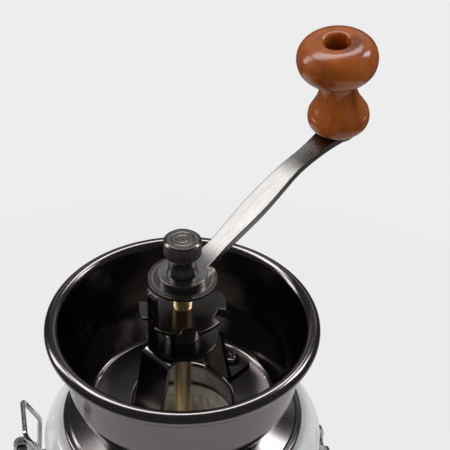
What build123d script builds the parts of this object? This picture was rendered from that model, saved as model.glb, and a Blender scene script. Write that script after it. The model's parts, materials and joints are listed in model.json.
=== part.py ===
from build123d import *
from math import cos, radians, sin, tan
import os

# Hand crank coffee grinder: a ceramic jar, a hinged ceramic lid that carries the hopper and the
# burrs, and a crank with a turned wooden knob.
#
# Frame: +Z up, origin at the centre of the jar's flat base. The latch is towards -X and the
# lid's hinge towards +X. All sizes are in millimetres.

# ---- clearances -------------------------------------------------------------------------------
RUN = 0.05            # radial clearance of a pin or shaft that turns in its hole
REST = 0.2            # gap between faces that turn or slide on each other
SEAL_GAP = 0.3        # gap between the lid's seal and the jar's lip
HOLE = 0.2            # radial clearance of a screw in a plain hole
NEAR = 0.4            # gap between a wire and the part beside it

# ---- ceramic jar and lid ----------------------------------------------------------------------
JAR_H = 63.0          # base to lip
JAR_R = 61.0          # widest outside radius
JAR_BASE_R = 47.0
JAR_WALL = 4.0
JAR_FLOOR = 5.0
LIP_R = 59.0          # outside radius of the jar's lip
LIP_H = 5.0
NECK_R = 55.5         # outside radius of the neck under the lip
NECK_H = 9.0
MOUTH_R = 51.5
SEAL_T = 1.7
LID_R = 60.3
LID_WALL_H = 24.5     # straight side wall of the lid
LID_EDGE_H = 3.0      # height of the rounded step above the side wall
LID_EDGE_W = 2.0
LID_CROWN_H = 6.0     # from that step up to the seat of the skirt
LID_HOLE_R = 42.0
LID_LIP_T = 5.5       # thickness of the inner lip that is clamped
SEAT_R = 53.0
SPIGOT_GAP = 1.0      # lid spigot to jar mouth
SPIGOT_H = 6.0
SPIGOT_T = 4.0

# ---- bands, hinge and latch -------------------------------------------------------------------
STRAP_T = 0.8
STRAP_W = 6.0
NECK_BAND_DROP = 1.0  # neck band below the groove's upper side
BAND_UP = 2.0         # lid band above the lid's lower edge
BAND_PLAY = 0.1       # lid band to the sides of its groove
EAR_GAP = 2.0         # between the two ears of the lid band
EAR_T = 0.8
EAR_W = 7.0
EAR_OUT = 10.0        # ear's screw beyond the lid's side
EAR_UP = 19.9         # ear's screw above the middle of the band
EAR_KNEE_OUT = 2.0    # where the ear leaves the lid's side
EAR_KNEE_UP = 9.0
EAR_BEND = 6.0        # radius of the ear's knee
CLAMP_R = 1.5
CLAMP_HEAD_R = 3.2
CLAMP_HEAD_H = 2.0
BARREL_R = 2.3        # round nut of the clamp screw
BARREL_L = 6.5
BARREL_END = 1.5      # solid end of the round nut
HINGE_PIN_R = 1.5
HINGE_OUT = 4.2       # hinge pin's axis beyond the lid's side
HINGE_DOWN = 1.5      # and below the jar's lip
PIN_HEAD_W = 0.7      # hinge pin's heads beyond its shank
PIN_HEAD_T = 1.0
KNUCKLE_R = 2.6
KNUCKLE_L = 9.8       # middle knuckle
SIDE_KNUCKLE_L = 3.0
KNUCKLE_GAP = 0.3
WEB_T = 1.2
WEB_BEND = 2.5
LEVER_WIRE_R = 1.05
LEVER_HALF_W = 10.6
LEVER_OUT = 3.2       # lever's pivot beyond the lid's side
LEVER_NEAR_OUT = 1.1  # the lever's legs beyond the lid's side, at their upper bend
LEVER_BEND_UP = 24.5  # pivot to that bend
LEVER_GRIP_OUT = 7.7  # cross bar beyond the lid's side
LEVER_GRIP_UP = 37.0  # pivot to the cross bar
LUG_R = 3.0
LUG_T = 1.0
LUG_ROOT = 1.3        # lug's root inside the lid's side
LUG_GAP = 0.1         # lever's leg to the lug
LEVER_TAIL = 1.4      # lever's wire end beyond the lug
EYE_R = 2.1
EYE_HALF_W = 1.05
EYE_UP = 7.3          # pivot to the eyes that hold the link
EYE_OUT = 1.4
LINK_WIRE_R = 0.9
LINK_L = 23.3
LINK_TAIL = 0.6       # link's wire end beyond the eye
CATCH_W = 9.0
CATCH_T = 1.2
CATCH_LIP = 2.4
ROOT_IN = 0.3         # how far catch and webs start outside the neck

# ---- hopper and skirt -------------------------------------------------------------------------
SHEET = 0.8
SKIRT_R = 51.7
SKIRT_H = 8.0         # lid seat to the skirt's flat top
SKIRT_STEP_R = 48.8
SKIRT_FLAT_R = 38.6
HOPPER_H = 42.7       # floor to the rim's centre plane
RIM_R = 56.5
ROLL_R = 3.05         # outside radius of the rolled rim's section
FLOOR_R = 39.6
BELLY_R = 47.6        # inside radius where the wall turns up
BELLY_UP = 13.5
HOLE_R = 21.1
HOLE_LIP = 3.0

# ---- burr housing and burrs -------------------------------------------------------------------
TUBE_R = 26.0
TUBE_WALL = 3.9
TUBE_LIP_H = 3.0
TUBE_LIP_R = 20.5
FLANGE_R = 45.0
FLANGE_T = 2.6
POST_R = 5.5          # post for a foot screw
BOSS_LOW_R = 3.6      # boss for a bearing screw
BOSS_LOW_H = 9.0
BOSS_HOLE_H = 7.0
POST_HOLE_H = 9.0
WALL_BITE = 0.5       # posts and bosses start this far outside the chute's inner wall
BURR_H = 22.0
BURR_STEP = 1.0
BURR_STEP_W = 0.8
BURR_THROAT_R = 17.95
BURR_MOUTH_R = 20.4
BURR_EXIT_R = 19.35
BURR_LOW = 7.0        # height of the finely cut lower part
BURR_LEAD_H = 4.5     # plain lead-in above the teeth
BURR_LEAD_R = 19.4
BURR_LEDGE = 0.5
BURR_GAP = 0.75       # cone burr to ring burr
CONE_TOP_R = 8.0
CONE_H = 18.5
RING_TEETH = 30
CONE_TEETH = 24
TOOTH_DEPTH = 0.9
TOOTH_HALF_W = 2.6    # half width of the cutter's back
TOOTH_OVER = 0.5      # cutter beyond the teeth at each end
TOOTH_SLANT = 0.25    # sideways lean of a tooth for its height
BEARING_T = 2.5
BEARING_R = 33.0
BEARING_SCREW_R = 29.0
BEARING_ARM_W = 6.0
BEARING_HUB_W = 3.0   # plate left around the lower bush
BEARING_SHANK_R = 1.5
BEARING_SHANK_L = 6.0 # screw's bite in the housing
BEARING_HEAD_R = 2.8
BEARING_HEAD_H = 1.8
BUSH_R = 5.0
BUSH_L = 4.5
BUSH_RIM = 1.5        # lower bush's flange beyond its sleeve
BURR_DROP = 12.3      # hopper floor to the ring burr's top
CONE_LOW = 0.5        # cone burr's foot above the ring burr's
BURR_NUT_H = 2.5
SPRING_L = 8.0
COIL_R = 4.8
COIL_WIRE_R = 0.55
COIL_TURNS = 5
WASHER_T = 1.0
WASHER_R = 7.0
END_NUT_H = 4.0
NUT_FLATS = 10.0      # across the flats of both hexagon nuts

# ---- shaft, setting nut and lock --------------------------------------------------------------
SHAFT_R = 3.55
THREAD_R = 3.95
STUD_R = 3.0
FLAT_AT = 2.9         # the shaft's flat from its axis
FLAT_DOWN = 6.0       # upper flat below the setting nut's top
COLLAR_W = 1.5        # collar over the cone burr
COLLAR_T = 1.2
THREAD_DOWN = 9.0     # thread below the bridge's top face
END_OUT = 1.2         # shaft beyond its end nut
TOP_R = 3.2
BRIDGE_DIR = 35.5     # degrees about Z, of the bridge's legs
BRIDGE_H = 34.4       # hopper floor to the bridge's top face
BRIDGE_W = 15.0
BRIDGE_T = 2.0
BRIDGE_TOP_HALF = 15.0
BRIDGE_FOOT_IN = 21.8
BRIDGE_FOOT_OUT = 37.4
FOOT_CORNER_R = 4.5
FOOT_SCREW_R = 30.5
FOOT_HEAD_R = 3.6
FOOT_HEAD_H = 2.3
FOOT_SHANK_R = 2.0
FOOT_SHANK_L = 8.0    # screw's bite in the housing's post
BUSH_FLANGE_R = 7.5
BUSH_FLANGE_T = 0.8
BUSH_SLEEVE_R = 5.5
BUSH_SLEEVE_L = 1.5   # bridge's bush below the bridge
TONGUE_DIR = 211.5    # degrees about Z, of the tongue and the notch on it
PLATE_R = 14.8
PLATE_T = 1.5
HUB_R = 7.0
HUB_H = 14.0
TONGUE_W = 5.2
TONGUE_T = 1.5
TONGUE_H = 31.3
TONGUE_GAP = 0.3      # tongue to the notch's floor
LOCK_R = 17.7
LOCK_T = 1.6
NOTCHES = 6
NOTCH_FLOOR_R = 14.4
NOTCH_RAMP = 3.7
SPACER_R = 13.9
SPACER_T = 1.2
THREAD_TOP = 13.6     # lock plate's top face to the spacer

# ---- crank and knob ---------------------------------------------------------------------------
CRANK_DIR = 37.3      # degrees about Z, of the crank at rest
CRANK_T = 3.0
BOSS_R = 10.0
BEND_LOW_FILLET = 38.0
BEND_TOP_FILLET = 55.0
ARM_OVER = 12.0       # strip's length beyond the knob, cut off by the arm's plan
ARM_BEND_R = 15.5     # radius from the shaft's axis to the lower bend
ARM_TOP_R = 66.0      # and to the upper bend
KNOB_R = 99.0         # and to the knob's foot
ARM_SLOPE = 19.0
PAD_SLOPE = 8.5       # the knob leans back towards the shaft by this much
ARM_W_BEND = 8.0
ARM_W_MID = 10.0
PAD_R = 7.5
NUT_NECK_R = 6.2
NUT_NECK_H = 8.8
NUT_R = 7.5
NUT_KNURL_H = 7.4
NUT_CHAMFER = 0.8
NUT_CROWN = 4.0       # solid top of the thumb nut
STUD_GAP = 1.0        # stud's end to that top
KNOB_PIN_R = 2.5
KNOB_H = 43.7
KNOB_HEAD_R = 17.2
KNOB_HEAD_UP = 8.8    # the head's widest ring to the knob's top
KNOB_HEAD_DOWN = 10.9 # and down to the neck
KNOB_NECK_R = 8.0
KNOB_BASE_R = 13.4
KNOB_BORE_R = 5.6
KNOB_SEAT = 15.5      # height of the bore's floor over the knob's foot
KNOB_WASHER_T = 0.6
KNOB_WASHER_W = 4.0
PIN_TOP_W = 2.2       # knob pin's head beyond its shank
PIN_TOP_T = 2.4
RIVET_W = 1.2         # and its riveted end under the arm
RIVET_T = 1.6

# ---- heights that follow ----------------------------------------------------------------------
LID_Z = JAR_H + SEAL_GAP + SEAL_T
EDGE_Z = LID_Z + LID_WALL_H
RIDGE_Z = EDGE_Z + LID_EDGE_H
SEAT_Z = RIDGE_Z + LID_CROWN_H
LIP_UNDER_Z = SEAT_Z - LID_LIP_T
SKIRT_Z = SEAT_Z + SKIRT_H
FLOOR_Z = SKIRT_Z + SHEET
RIM_Z = FLOOR_Z + HOPPER_H
SKIRT_UNDER_Z = SKIRT_Z - SHEET
BAND_Z = LID_Z + BAND_UP + STRAP_W / 2
NECK_TOP_Z = JAR_H - LIP_H
NECK_BAND_Z = NECK_TOP_Z - NECK_BAND_DROP - STRAP_W / 2
HINGE_X = LID_R + HINGE_OUT
HINGE_Z = JAR_H - HINGE_DOWN
LEVER_X = LID_R + LEVER_OUT
EYE_X = LEVER_X + EYE_OUT
EYE_Z = BAND_Z + EYE_UP
BRIDGE_Z = FLOOR_Z + BRIDGE_H
PLATE_Z = BRIDGE_Z + BUSH_FLANGE_T + REST
HUB_TOP_Z = PLATE_Z + PLATE_T + HUB_H
LOCK_Z = HUB_TOP_Z + REST
SPACER_Z = LOCK_Z + LOCK_T + THREAD_TOP
CRANK_Z = SPACER_Z + SPACER_T
NUT_Z = CRANK_Z + CRANK_T
NUT_TOP_Z = NUT_Z + NUT_NECK_H + NUT_KNURL_H
BURR_TOP_Z = FLOOR_Z - BURR_DROP
BURR_Z = BURR_TOP_Z - BURR_H
TUBE_Z = BURR_Z - TUBE_LIP_H
BEARING_Z = TUBE_Z - BEARING_T
CONE_Z = BURR_Z + CONE_LOW
CONE_TOP_Z = CONE_Z + CONE_H
BUSH_Z = TUBE_Z - BUSH_L
SPRING_Z = BUSH_Z - SPRING_L
SHAFT_END_Z = SPRING_Z - WASHER_T - END_NUT_H - END_OUT
TUBE_IN_R = TUBE_R - TUBE_WALL


# ---- shapes used by several parts -------------------------------------------------------------
def outline(corners):
    """Closed face in the XZ plane; a corner is (x, z) or (x, z, fillet)."""
    points = [(c[0], c[1]) for c in corners]
    fillets = [c[2] if len(c) > 2 else 0 for c in corners]
    flat = make_face(FilletPolyline(*points, radius=fillets, close=True))
    return Rot(90, 0, 0) * flat


def spun(*corners):
    """Solid turned about the Z axis from corners in radius and height."""
    return revolve(outline(corners), Axis.Z)


def ring(inner, outer, low, high):
    """Plain tube about the Z axis; an inner radius of zero gives a disc."""
    body = Pos(0, 0, low) * extrude(Circle(outer), high - low)
    if inner > 0:
        body -= Pos(0, 0, low) * extrude(Circle(inner), high - low)
    return body


def spun_sheet(corners, thickness):
    """Sheet of even thickness turned about Z, from the middle line's corners."""
    points = [(c[0], c[1]) for c in corners]
    fillets = [c[2] if len(c) > 2 else 0 for c in corners[1:-1]]
    line = FilletPolyline(*points, radius=fillets)
    return revolve(Rot(90, 0, 0) * trace(line, line_width=thickness), Axis.Z)


def bent_strip(corners, thickness, width):
    """Strip of sheet, bent along corners in the XZ plane, with its width along Y."""
    points = [(c[0], c[1]) for c in corners]
    fillets = [c[2] if len(c) > 2 else 0 for c in corners[1:-1]]
    side = trace(FilletPolyline(*points, radius=fillets), line_width=thickness)
    return Rot(90, 0, 0) * extrude(side, width / 2, both=True)


def rod_y(radius, x, z, start, end):
    """Round rod along Y from start to end, at x and z."""
    return Pos(x, end, z) * Rot(90, 0, 0) * extrude(Circle(radius), end - start)


def plate_y(sketch, start, end):
    """Plate cut to a sketch whose plane is XZ, from start to end along Y."""
    return Pos(0, end, 0) * Rot(90, 0, 0) * extrude(sketch, end - start)


def wire(points, fillets, radius):
    """Round wire bent along points in space."""
    path = FilletPolyline(*points, radius=fillets)
    return sweep(Plane(path @ 0, z_dir=path % 0) * Circle(radius), path=path)


def flatted(radius, play=0.0):
    """Round section with the shaft's flat, for the holes that fit it."""
    beyond = Pos(0, FLAT_AT + play + radius) * Rectangle(2 * radius + 1, 2 * radius)
    return Rot(0, 0, CRANK_DIR) * (Circle(radius) - beyond)


def hexagon_nut(across_flats, height, hole, low):
    """Hexagon nut about the Z axis with its edges rounded off."""
    body = extrude(RegularPolygon(across_flats / 2, 6, major_radius=False), height)
    cone_r = across_flats / 2 * 1.06
    body &= spun((0, 0), (cone_r, 0), (cone_r * 1.08, 0.5), (cone_r * 1.08, height - 0.5),
                 (cone_r, height), (0, height))
    return Pos(0, 0, low) * (body - extrude(Circle(hole), height))


def pan_head(radius, height, cross=True):
    """Pan head with its underside at Z = 0 and a cross recess in its top."""
    head = spun((0, 0), (radius, 0), (radius, height * 0.55, 0.6), (radius * 0.72, height, 0.8),
                (0, height))
    if cross:
        slot = Pos(0, 0, height - 1.2) * extrude(Rectangle(radius * 1.1, 0.8), 2)
        head -= slot + Rot(0, 0, 90) * slot
    return head


def around(count, part, first=0.0):
    """The part repeated about the Z axis."""
    return [Rot(0, 0, first + i * 360 / count) * part for i in range(count)]


# ---- jar and lid ------------------------------------------------------------------------------
def jar():
    """Ceramic jar with a neck for the band and a flat ground lip."""
    inside = JAR_R - JAR_WALL
    shoulder_z = NECK_TOP_Z - NECK_H
    return spun(
        (0, 0), (JAR_BASE_R, 0, 3), (JAR_R, 20, 24), (JAR_R, shoulder_z - 8, 12),
        (NECK_R, shoulder_z, 4), (NECK_R, NECK_TOP_Z, 1), (LIP_R, NECK_TOP_Z + 1, 1),
        (LIP_R, JAR_H, 1.5), (MOUTH_R, JAR_H, 1.5), (MOUTH_R, shoulder_z - 2, 6),
        (inside, shoulder_z - 11, 9), (inside, 21, 20), (JAR_BASE_R - JAR_WALL, JAR_FLOOR, 7),
        (0, JAR_FLOOR))


def lid_ring():
    """Ceramic lid: side wall with the band's groove, crowned top, inner lip and spigot."""
    spigot_r = MOUTH_R - SPIGOT_GAP
    spigot_in = spigot_r - SPIGOT_T
    groove_r = LID_R - STRAP_T - BAND_PLAY
    low = BAND_Z - STRAP_W / 2 - BAND_PLAY
    high = BAND_Z + STRAP_W / 2 + BAND_PLAY
    return spun(
        (spigot_in, LID_Z - SPIGOT_H, 1), (spigot_r, LID_Z - SPIGOT_H, 1), (spigot_r, LID_Z),
        (LID_R, LID_Z, 1), (LID_R, low), (groove_r, low), (groove_r, high), (LID_R, high),
        (LID_R, EDGE_Z, 1.2), (LID_R - LID_EDGE_W, RIDGE_Z, 1.6), (SEAT_R + 2, SEAT_Z, 3),
        (LID_HOLE_R, SEAT_Z, 1), (LID_HOLE_R, LIP_UNDER_Z, 1), (spigot_in + 1, LIP_UNDER_Z, 1),
        (LID_R - 7, LIP_UNDER_Z - 5, 3), (LID_R - 7, LID_Z + 8, 3), (spigot_in, LID_Z + 2, 2))


def lid_seal():
    """Soft ring on the underside of the lid."""
    return spun((MOUTH_R + 0.5, LID_Z - SEAL_T, 0.5), (LIP_R - 0.5, LID_Z - SEAL_T, 0.5),
                (LIP_R - 0.5, LID_Z), (MOUTH_R + 0.5, LID_Z))


# ---- bands, hinge and latch -------------------------------------------------------------------
def knuckle(start, end, bore):
    """Rolled hinge knuckle on the hinge pin's axis, and the bore to cut in it."""
    return rod_y(KNUCKLE_R, HINGE_X, HINGE_Z, start, end), rod_y(bore, HINGE_X, HINGE_Z, start, end)


def clamp_place():
    """Axis of the clamp screw in XZ."""
    return -(LID_R + EAR_OUT), BAND_Z + EAR_UP


def ear_sketch():
    """Slanted ear with a round end, in XZ."""
    root = (-(LID_R - STRAP_T), BAND_Z + 0.2)
    knee = (-(LID_R + EAR_KNEE_OUT), BAND_Z + EAR_KNEE_UP)
    end = clamp_place()
    blade = trace(FilletPolyline(root, knee, end, radius=EAR_BEND), line_width=EAR_W)
    under_band = Pos(-LID_R + 0.5, BAND_Z) * Rectangle(3.0, STRAP_W)
    return blade + under_band + Pos(*end) * Circle(EAR_W / 2) - Pos(*end) * Circle(CLAMP_R)


def lug_sketch():
    """Round-ended lug that holds the lever, in XZ."""
    root = LID_R - LUG_ROOT
    plate = Pos(-(LEVER_X + root) / 2, BAND_Z) * Rectangle(LEVER_X - root, STRAP_W)
    end = Pos(-LEVER_X, BAND_Z)
    return plate + end * Circle(LUG_R) - end * Circle(LEVER_WIRE_R + RUN)


def lid_band():
    """Steel band round the lid, with two ears, two lever lugs and two hinge knuckles."""
    outer = LID_R - BAND_PLAY
    band = ring(outer - STRAP_T, outer, BAND_Z - STRAP_W / 2, BAND_Z + STRAP_W / 2)
    band -= Pos(-LID_R, 0, BAND_Z) * Box(8, EAR_GAP, STRAP_W + 2)
    outside = ring(outer - STRAP_T, 2 * LID_R, BAND_Z - STRAP_W / 2, BAND_Z + STRAP_W / 2)
    outside += ring(LID_R + NEAR / 2, 2 * LID_R, 0, RIM_Z)
    lug_start = LEVER_HALF_W + LEVER_WIRE_R + LUG_GAP
    knuckle_start = KNUCKLE_L / 2 + KNUCKLE_GAP
    knuckle_end = knuckle_start + SIDE_KNUCKLE_L
    for side in (1, -1):
        ear = sorted((side * EAR_GAP / 2, side * (EAR_GAP / 2 + EAR_T)))
        lug = sorted((side * lug_start, side * (lug_start + LUG_T)))
        barrel = sorted((side * knuckle_start, side * knuckle_end))
        shell, bore = knuckle(barrel[0], barrel[1], HINGE_PIN_R + RUN)
        web_x = HINGE_X + KNUCKLE_R - WEB_T / 2
        web = Pos(0, (barrel[0] + barrel[1]) / 2, 0) * bent_strip(
            [(outer - 1.5, BAND_Z), (web_x, BAND_Z, WEB_BEND), (web_x, HINGE_Z)], WEB_T, SIDE_KNUCKLE_L)
        parts = plate_y(ear_sketch(), *ear) + plate_y(lug_sketch(), *lug) + web + shell
        band += parts & outside
        band -= bore
    return band


def neck_band():
    """Steel band round the jar's neck, with the catch and the middle hinge knuckle."""
    outer = NECK_R + STRAP_T
    band = ring(NECK_R, outer, NECK_BAND_Z - STRAP_W / 2, NECK_BAND_Z + STRAP_W / 2)
    catch_tip = EYE_X - LINK_WIRE_R - NEAR - CATCH_T / 2
    catch_z = NECK_BAND_Z + STRAP_W / 2 - CATCH_T / 2
    catch = bent_strip(
        [(-NECK_R - ROOT_IN, catch_z), (-catch_tip, catch_z, CATCH_T),
         (-catch_tip, catch_z - CATCH_LIP)],
        CATCH_T, CATCH_W)
    web_x = HINGE_X - KNUCKLE_R + WEB_T / 2
    web = bent_strip(
        [(NECK_R + ROOT_IN, NECK_BAND_Z), (web_x, NECK_BAND_Z, WEB_BEND), (web_x, HINGE_Z)],
        WEB_T, KNUCKLE_L)
    shell, bore = knuckle(-KNUCKLE_L / 2, KNUCKLE_L / 2, HINGE_PIN_R)
    outside = ring(NECK_R, 2 * NECK_R, 0, JAR_H)
    return band + (catch & outside) + (web & outside) + shell - bore


def hinge_pin():
    """Hinge pin with a small head at each end."""
    half = KNUCKLE_L / 2 + KNUCKLE_GAP + SIDE_KNUCKLE_L + REST
    pin = rod_y(HINGE_PIN_R, HINGE_X, HINGE_Z, -half, half)
    for side in (1, -1):
        head = sorted((side * half, side * (half + PIN_HEAD_T)))
        pin += rod_y(HINGE_PIN_R + PIN_HEAD_W, HINGE_X, HINGE_Z, *head)
    return pin


def clamp_screw():
    """Screw that pulls the ears of the lid band together."""
    x, z = clamp_place()
    outside = EAR_GAP / 2 + EAR_T
    shank = rod_y(CLAMP_R, x, z, -outside - BARREL_L + BARREL_END, outside)
    head = Pos(x, outside, z) * Rot(-90, 0, 0) * pan_head(CLAMP_HEAD_R, CLAMP_HEAD_H)
    return shank + head


def clamp_nut():
    """Round barrel nut on the clamp screw."""
    x, z = clamp_place()
    outside = EAR_GAP / 2 + EAR_T
    nut = rod_y(BARREL_R, x, z, -outside - BARREL_L, -outside)
    nut = chamfer(nut.edges().filter_by(GeomType.CIRCLE), 0.3)
    return nut - rod_y(CLAMP_R, x, z, -outside - BARREL_L + BARREL_END, -outside)


def latch_lever():
    """Bent wire lever with a cross bar to pull and two eyes for the link."""
    lug_end = LEVER_HALF_W + LEVER_WIRE_R + LUG_GAP + LUG_T + LEVER_TAIL
    bend_x = -(LID_R + LEVER_NEAR_OUT)
    grip_x = -(LID_R + LEVER_GRIP_OUT)
    half = [(-LEVER_X, lug_end, BAND_Z), (-LEVER_X, LEVER_HALF_W, BAND_Z),
            (bend_x, LEVER_HALF_W, BAND_Z + LEVER_BEND_UP),
            (grip_x, LEVER_HALF_W, BAND_Z + LEVER_GRIP_UP)]
    other = [(x, -y, z) for x, y, z in reversed(half)]
    lever = wire(half + other, [1.4, 6, 2.4, 2.4, 6, 1.4], LEVER_WIRE_R)
    for side in (1, -1):
        start, end = side * LEVER_HALF_W - EYE_HALF_W, side * LEVER_HALF_W + EYE_HALF_W
        lever += rod_y(EYE_R, -EYE_X, EYE_Z, start, end)
        lever -= rod_y(LINK_WIRE_R + RUN, -EYE_X, EYE_Z, start, end)
    return lever


def latch_link():
    """Wire link that hangs in the lever's eyes and hooks under the catch."""
    inside = LEVER_HALF_W - EYE_HALF_W - NEAR - LINK_WIRE_R
    end = LEVER_HALF_W + EYE_HALF_W + LINK_TAIL
    low = EYE_Z - LINK_L
    half = [(-EYE_X, end, EYE_Z), (-EYE_X, inside, EYE_Z), (-EYE_X, inside, low)]
    other = [(x, -y, z) for x, y, z in reversed(half)]
    return wire(half + other, [1.2, 1.8, 1.8, 1.2], LINK_WIRE_R)


# ---- hopper, skirt and bridge -----------------------------------------------------------------
def foot_holes(radius):
    """Two holes for the bridge's screws, through everything they pass."""
    hole = Pos(FOOT_SCREW_R, 0, 0) * extrude(Circle(radius), RIM_Z)
    return around(2, hole, BRIDGE_DIR)


def skirt():
    """Flared sheet collar between the lid and the hopper."""
    mid = SHEET / 2
    edge = SKIRT_R - mid
    sheet = spun_sheet(
        [(edge, SEAT_Z), (edge, SEAT_Z + 2.3, 0.9), (SKIRT_STEP_R + 0.5, SEAT_Z + 2.7, 0.5),
         (SKIRT_STEP_R - 0.3, SEAT_Z + 3.4, 0.5), (SKIRT_FLAT_R, SKIRT_Z - mid, 2.5),
         (TUBE_IN_R + 0.9, SKIRT_Z - mid)], SHEET)
    return sheet - foot_holes(FOOT_SHANK_R + HOLE)


def hopper():
    """Spun bowl with a rolled rim and a turned-down hole in its floor."""
    mid = SHEET / 2
    floor = FLOOR_Z - mid
    roll = ROLL_R - mid
    roll_x = RIM_R - ROLL_R
    wall = FilletPolyline(
        (HOLE_R + mid, FLOOR_Z - HOLE_LIP), (HOLE_R + mid, floor), (FLOOR_R, floor),
        (BELLY_R, FLOOR_Z + BELLY_UP), (roll_x - roll, RIM_Z), radius=[1.0, 3.0, 22.0])
    end = radians(-70)
    rolled = ThreePointArc(
        (roll_x - roll, RIM_Z), (roll_x, RIM_Z + roll),
        (roll_x + roll * cos(end), RIM_Z + roll * sin(end)))
    section = trace(wall, line_width=SHEET) + trace(rolled, line_width=SHEET)
    return revolve(Rot(90, 0, 0) * section, Axis.Z) - foot_holes(FOOT_SHANK_R + HOLE)


def bridge():
    """Bent strap over the shaft, with two slanted legs and two screwed feet."""
    foot = FLOOR_Z + BRIDGE_T / 2
    top = BRIDGE_Z - BRIDGE_T / 2
    half = [(BRIDGE_FOOT_OUT, foot), (BRIDGE_FOOT_IN, foot, 2.5), (BRIDGE_TOP_HALF, top, 2.5)]
    other = [(-x, z, *fillet) for x, z, *fillet in reversed(half)]
    strap = bent_strip(half + other, BRIDGE_T, BRIDGE_W)
    plan = RectangleRounded(2 * BRIDGE_FOOT_OUT, BRIDGE_W, FOOT_CORNER_R)
    strap &= extrude(plan, RIM_Z)
    strap -= extrude(Circle(BUSH_SLEEVE_R), RIM_Z)
    return Rot(0, 0, BRIDGE_DIR) * strap - foot_holes(FOOT_SHANK_R + HOLE)


def bridge_bush():
    """Flanged bush in which the shaft's thread runs."""
    low = BRIDGE_Z - BRIDGE_T - BUSH_SLEEVE_L
    return spun(
        (THREAD_R + RUN, low), (BUSH_SLEEVE_R, low), (BUSH_SLEEVE_R, BRIDGE_Z),
        (BUSH_FLANGE_R, BRIDGE_Z),
        (BUSH_FLANGE_R, BRIDGE_Z + BUSH_FLANGE_T), (THREAD_R + RUN, BRIDGE_Z + BUSH_FLANGE_T))


def bridge_screws():
    """Two pan head screws that clamp feet, hopper and skirt to the housing."""
    seat = FLOOR_Z + BRIDGE_T
    shank = ring(0, FOOT_SHANK_R, SKIRT_UNDER_Z - FOOT_SHANK_L, seat)
    screw = Pos(0, 0, seat) * pan_head(FOOT_HEAD_R, FOOT_HEAD_H) + shank
    return around(2, Pos(FOOT_SCREW_R, 0, 0) * screw, BRIDGE_DIR)


# ---- burr housing, burrs and lower bearing ----------------------------------------------------
def burr_housing():
    """Cast housing: chute, clamping flange, two screw posts and three lower bosses."""
    body = spun(
        (TUBE_LIP_R, TUBE_Z), (TUBE_R, TUBE_Z), (TUBE_R, LIP_UNDER_Z - FLANGE_T, 1.5),
        (FLANGE_R, LIP_UNDER_Z - FLANGE_T, 0.6), (FLANGE_R, LIP_UNDER_Z), (TUBE_R, LIP_UNDER_Z),
        (TUBE_R, SKIRT_UNDER_Z), (TUBE_IN_R, SKIRT_UNDER_Z), (TUBE_IN_R, BURR_Z),
        (TUBE_LIP_R, BURR_Z))
    post = Pos(FOOT_SCREW_R, 0, 0) * ring(0, POST_R, LIP_UNDER_Z - FLANGE_T, SKIRT_UNDER_Z)
    chute = ring(0, TUBE_IN_R + WALL_BITE, TUBE_Z, SKIRT_UNDER_Z)
    post -= chute
    post_hole = ring(0, FOOT_SHANK_R, SKIRT_UNDER_Z - POST_HOLE_H, SKIRT_UNDER_Z)
    post_hole = Pos(FOOT_SCREW_R, 0, 0) * post_hole
    boss = Pos(BEARING_SCREW_R, 0, 0) * ring(0, BOSS_LOW_R, TUBE_Z, TUBE_Z + BOSS_LOW_H) - chute
    boss_hole = Pos(BEARING_SCREW_R, 0, 0) * ring(0, BEARING_SHANK_R, TUBE_Z, TUBE_Z + BOSS_HOLE_H)
    body += around(2, post, BRIDGE_DIR) + around(3, boss, BRIDGE_DIR + 90)
    return body - around(2, post_hole, BRIDGE_DIR) - around(3, boss_hole, BRIDGE_DIR + 90)


def tooth_cutter(low, high, inner):
    """Slanted V groove between two (radius, height) points, cut on the burrs."""
    rise = high[1] - low[1]
    reach = TOOTH_DEPTH if inner else -TOOTH_DEPTH
    tip_low = Vector(low[0] + reach, 0, low[1] - TOOTH_OVER)
    tip_high = Vector(high[0] + reach, rise * TOOTH_SLANT, high[1] + TOOTH_OVER)
    back = -4 * reach
    bottom = Polyline(tip_low, tip_low + Vector(back, TOOTH_HALF_W, 0),
                      tip_low + Vector(back, -TOOTH_HALF_W, 0), close=True)
    top = Polyline(tip_high, tip_high + Vector(back, TOOTH_HALF_W, 0),
                   tip_high + Vector(back, -TOOTH_HALF_W, 0), close=True)
    return loft([make_face(bottom), make_face(top)])


def ring_burr():
    """Fixed outer burr with a stepped top, a plain lead-in and slanted teeth."""
    lead_z = BURR_TOP_Z - BURR_LEAD_H
    throat = (BURR_THROAT_R, BURR_Z + BURR_LOW)
    teeth_top = (BURR_LEAD_R - BURR_LEDGE, lead_z)
    step_r = TUBE_IN_R - BURR_STEP_W
    body = spun(
        (BURR_EXIT_R, BURR_Z), (TUBE_IN_R, BURR_Z), (TUBE_IN_R, BURR_TOP_Z - BURR_STEP),
        (step_r, BURR_TOP_Z - BURR_STEP), (step_r, BURR_TOP_Z), (BURR_MOUTH_R, BURR_TOP_Z),
        (BURR_LEAD_R, lead_z), teeth_top, throat)
    return body - around(RING_TEETH, tooth_cutter(throat, teeth_top, inner=True))


def cone_burr():
    """Turning inner burr, keyed to the shaft's lower flat."""
    foot_r = BURR_EXIT_R - BURR_GAP
    waist_r = BURR_THROAT_R - BURR_GAP
    waist_z = BURR_Z + BURR_LOW
    body = spun((0, CONE_Z), (foot_r, CONE_Z), (waist_r, waist_z), (CONE_TOP_R, CONE_TOP_Z),
                (0, CONE_TOP_Z))
    cutter = tooth_cutter((waist_r, waist_z), (CONE_TOP_R, CONE_TOP_Z), inner=False)
    body -= around(CONE_TEETH, cutter)
    return body - Pos(0, 0, CONE_Z) * extrude(flatted(SHAFT_R), CONE_H)


def burr_nut():
    """Thin nut that holds the cone burr against the shaft's collar."""
    return hexagon_nut(NUT_FLATS, BURR_NUT_H, STUD_R, CONE_Z - BURR_NUT_H)


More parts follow.
